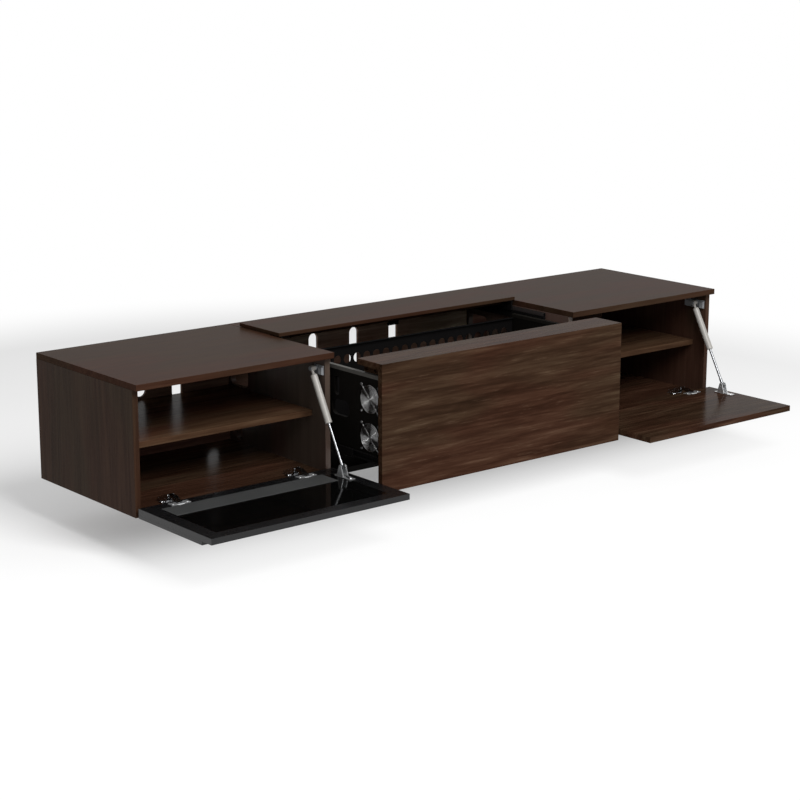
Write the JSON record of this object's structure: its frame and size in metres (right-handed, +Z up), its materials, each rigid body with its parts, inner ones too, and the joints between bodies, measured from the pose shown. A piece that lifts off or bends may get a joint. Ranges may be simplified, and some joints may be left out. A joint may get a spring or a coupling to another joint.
{
  "type": "projector screen cabinet",
  "caption": "Low wall-hung media cabinet with drop-down flaps on gas struts, a pull-out projector drawer with cooling fans and a sliding lid over its opening.",
  "frame": {"origin": "centre of the four wall bolts, on the plane of the wall", "axes": "+X to the right along the cabinet as seen from the front, +Y into the wall, +Z up"},
  "size_m": [2.44, 0.946, 0.413],
  "materials": {
    "walnut": "satin, fine streaky grain",
    "dark_board": "matt black coated board",
    "black_metal": "matt powder coat",
    "grey_metal": "satin",
    "light_paint": "satin",
    "dark_aluminium": "dark anodised",
    "aluminium": "brushed",
    "steel": "zinc plated",
    "chrome": "polished",
    "black_glass": "back-painted, glossy",
    "black_plastic": "matt"
  },
  "bodies": {
    "cabinet": {"left_side_panel": "walnut", "left_divider": "walnut", "right_divider": "walnut", "right_side_panel": "walnut", "left_top": "walnut", "right_top": "walnut", "left_bottom": "walnut", "centre_bottom": "dark_board", "right_bottom": "walnut", "left_shelf": "walnut", "right_shelf": "walnut", "shelf_pins": "steel", "left_back_panel": "walnut", "centre_back_panel": "walnut", "right_back_panel": "walnut", "rear_top_strip": "walnut", "wall_rails": "steel", "cabinet_hangers": "steel", "tracks_and_catch": "black_metal", "hinge_plates": "chrome", "hinge_arms": "chrome", "strut_brackets": "grey_metal", "slide_outer_members": "black_metal", "drive_motor": "black_metal", "control_box": "black_plastic"},
    "left_flap": {"left_flap_frame": "dark_aluminium", "left_flap_glass": "black_glass", "left_flap_outer_panel": "dark_aluminium", "left_flap_hinge_plate": "aluminium", "left_hinge_cups": "chrome", "left_clevis": "grey_metal"},
    "right_flap": {"right_flap_panel": "walnut", "right_hinge_cups": "chrome", "right_clevis": "grey_metal"},
    "left_links": {"left_hinge_links": "chrome"},
    "right_links": {"right_hinge_links": "chrome"},
    "left_tube": {"left_strut_tube": "light_paint"},
    "left_rod": {"left_strut_rod": "chrome"},
    "right_tube": {"right_strut_tube": "light_paint"},
    "right_rod": {"right_strut_rod": "chrome"},
    "drawer": {"drawer_front": "walnut", "drawer_slab": "walnut", "slab_battens": "walnut", "drawer_left_side": "dark_board", "drawer_right_side": "dark_board", "drawer_trims": "aluminium", "projector_tray": "dark_board", "drawer_rear_panel": "black_metal", "fan_frames": "black_plastic", "fan_guards": "chrome", "fan_screws": "steel", "slide_inner_members": "black_metal", "drive_rod": "steel"},
    "slide_middles": {"slide_middle_members": "black_metal"},
    "lid": {"sliding_lid": "walnut", "lid_runners": "black_metal"},
    "fan_left_low": {"impeller_left_low": "black_plastic"},
    "fan_left_high": {"impeller_left_high": "black_plastic"},
    "fan_right_low": {"impeller_right_low": "black_plastic"},
    "fan_right_high": {"impeller_right_high": "black_plastic"}
  },
  "joints": [
    {"name": "left_flap_turn", "type": "hinge", "parent": "cabinet", "child": "left_flap", "pos_m": [-0.865, -0.5745, -0.1875], "axis": [-1, 0, 0], "range_deg": [0, 90]},
    {"name": "left_links_turn", "type": "hinge", "parent": "cabinet", "child": "left_links", "pos_m": [-0.865, -0.542, -0.155], "axis": [-1, 0, 0], "range_deg": [0, 90]},
    {"name": "left_strut_swing", "type": "hinge", "parent": "cabinet", "child": "left_tube", "pos_m": [-0.551, -0.513, 0.145], "axis": [1, 0, 0], "range_deg": [0, 25.7]},
    {"name": "left_strut_stroke", "type": "slide", "parent": "left_tube", "child": "left_rod", "axis": [0, 0.4769, 0.879], "range_m": [0, 0.0865]},
    {"name": "right_flap_turn", "type": "hinge", "parent": "cabinet", "child": "right_flap", "pos_m": [0.865, -0.5795, -0.1875], "axis": [-1, 0, 0], "range_deg": [0, 90]},
    {"name": "right_links_turn", "type": "hinge", "parent": "cabinet", "child": "right_links", "pos_m": [0.865, -0.547, -0.155], "axis": [-1, 0, 0], "range_deg": [0, 90]},
    {"name": "right_strut_swing", "type": "hinge", "parent": "cabinet", "child": "right_tube", "pos_m": [1.179, -0.513, 0.145], "axis": [1, 0, 0], "range_deg": [0, 25.7]},
    {"name": "right_strut_stroke", "type": "slide", "parent": "right_tube", "child": "right_rod", "axis": [0, 0.4835, 0.8753], "range_m": [0, 0.082]},
    {"name": "drawer_slide", "type": "slide", "parent": "cabinet", "child": "drawer", "axis": [0, 1, 0], "range_m": [0, 0.23]},
    {"name": "slide_middles_slide", "type": "slide", "parent": "cabinet", "child": "slide_middles", "axis": [0, 1, 0], "range_m": [0, 0.115]},
    {"name": "lid_slide", "type": "slide", "parent": "cabinet", "child": "lid", "axis": [0, -1, 0], "range_m": [0, 0.167]},
    {"name": "fan_left_low_spin", "type": "hinge", "parent": "drawer", "child": "fan_left_low", "pos_m": [-0.473, -0.734, -0.04], "axis": [1, 0, 0], "continuous": true},
    {"name": "fan_left_high_spin", "type": "hinge", "parent": "drawer", "child": "fan_left_high", "pos_m": [-0.473, -0.734, 0.079], "axis": [1, 0, 0], "continuous": true},
    {"name": "fan_right_low_spin", "type": "hinge", "parent": "drawer", "child": "fan_right_low", "pos_m": [0.473, -0.734, -0.04], "axis": [1, 0, 0], "continuous": true},
    {"name": "fan_right_high_spin", "type": "hinge", "parent": "drawer", "child": "fan_right_high", "pos_m": [0.473, -0.734, 0.079], "axis": [1, 0, 0], "continuous": true}
  ],
  "couplings": [
    {"joint": "left_links_turn", "follows": "left_flap_turn", "ratio": 1},
    {"joint": "left_strut_swing", "follows": "left_flap_turn", "ratio": 0.285},
    {"joint": "left_strut_stroke", "follows": "left_flap_turn", "m_per_rad": 0.055004},
    {"joint": "right_links_turn", "follows": "right_flap_turn", "ratio": 1},
    {"joint": "right_strut_swing", "follows": "right_flap_turn", "ratio": 0.285},
    {"joint": "right_strut_stroke", "follows": "right_flap_turn", "m_per_rad": 0.052139},
    {"joint": "slide_middles_slide", "follows": "drawer_slide", "ratio": 0.5}
  ]
}
